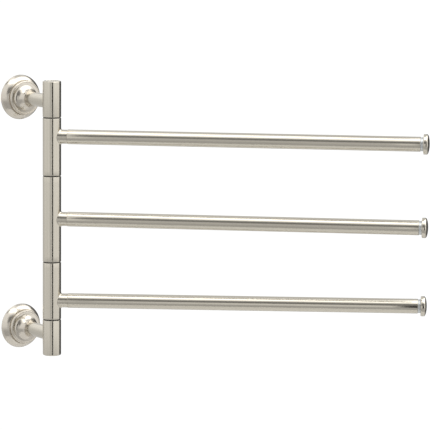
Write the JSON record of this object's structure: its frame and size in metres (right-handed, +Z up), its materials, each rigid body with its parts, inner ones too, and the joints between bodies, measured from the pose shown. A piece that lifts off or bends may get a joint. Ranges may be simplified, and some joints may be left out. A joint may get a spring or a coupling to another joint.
{
  "type": "swing towel rack",
  "caption": "Wall-mounted swing towel rack: long round bars with disc finials swivel one above another on an upright post, held off the wall by standoffs with stepped round flanges.",
  "frame": {"origin": "middle of the lower wall bracket's back face, on the wall plane", "axes": "+Z up along the post, +Y into the wall, so the rack stands out along -Y; +X to the right seen from the room"},
  "size_m": [0.3478, 0.3468, 0.303],
  "materials": {
    "satin_nickel": "satin brushed nickel plate, warm grey",
    "polished_nickel": "nickel plate, softly polished, warm grey",
    "zinc_steel": "zinc plated",
    "brass": "turned",
    "grey_ring": "satin, cool grey",
    "dark_nylon": "moulded",
    "white_acetal": "moulded"
  },
  "bodies": {
    "wall_frame": {"lower_wall_bracket": "zinc_steel", "lower_flange": "polished_nickel", "lower_flange_set_screw": "zinc_steel", "lower_standoff": "satin_nickel", "lower_standoff_bolt": "zinc_steel", "lower_end_sleeve": "satin_nickel", "lower_spindle_nut": "zinc_steel", "lower_end_plug": "satin_nickel", "upper_wall_bracket": "zinc_steel", "upper_flange": "polished_nickel", "upper_flange_set_screw": "zinc_steel", "upper_standoff": "satin_nickel", "upper_standoff_bolt": "zinc_steel", "upper_end_sleeve": "satin_nickel", "upper_spindle_nut": "zinc_steel", "upper_end_plug": "satin_nickel", "spindle": "zinc_steel", "thrust_washer_1": "dark_nylon", "thrust_washer_2": "dark_nylon", "thrust_washer_3": "dark_nylon", "thrust_washer_4": "dark_nylon"},
    "upper_arm": {"upper_swivel_sleeve": "satin_nickel", "upper_bottom_bush": "white_acetal", "upper_top_bush": "white_acetal", "upper_bar_stud": "zinc_steel", "upper_bar_root_insert": "brass", "upper_bar_tube": "satin_nickel", "upper_bar_end_insert": "brass", "upper_finial_ring": "grey_ring", "upper_finial_cap": "satin_nickel", "upper_finial_stud": "zinc_steel"},
    "middle_arm": {"middle_swivel_sleeve": "satin_nickel", "middle_bottom_bush": "white_acetal", "middle_top_bush": "white_acetal", "middle_bar_stud": "zinc_steel", "middle_bar_root_insert": "brass", "middle_bar_tube": "satin_nickel", "middle_bar_end_insert": "brass", "middle_finial_ring": "grey_ring", "middle_finial_cap": "satin_nickel", "middle_finial_stud": "zinc_steel"},
    "lower_arm": {"lower_swivel_sleeve": "satin_nickel", "lower_bottom_bush": "white_acetal", "lower_top_bush": "white_acetal", "lower_bar_stud": "zinc_steel", "lower_bar_root_insert": "brass", "lower_bar_tube": "satin_nickel", "lower_bar_end_insert": "brass", "lower_finial_ring": "grey_ring", "lower_finial_cap": "satin_nickel", "lower_finial_stud": "zinc_steel"}
  },
  "joints": [
    {"name": "upper_arm_swing", "type": "hinge", "parent": "wall_frame", "child": "upper_arm", "pos_m": [0, -0.066, 0.2165], "axis": [0, 0, 1], "range_deg": [-137.5, 42.5]},
    {"name": "middle_arm_swing", "type": "hinge", "parent": "wall_frame", "child": "middle_arm", "pos_m": [0, -0.066, 0.127], "axis": [0, 0, 1], "range_deg": [-137.5, 42.5]},
    {"name": "lower_arm_swing", "type": "hinge", "parent": "wall_frame", "child": "lower_arm", "pos_m": [0, -0.066, 0.0375], "axis": [0, 0, 1], "range_deg": [-141.6, 38.4]}
  ]
}
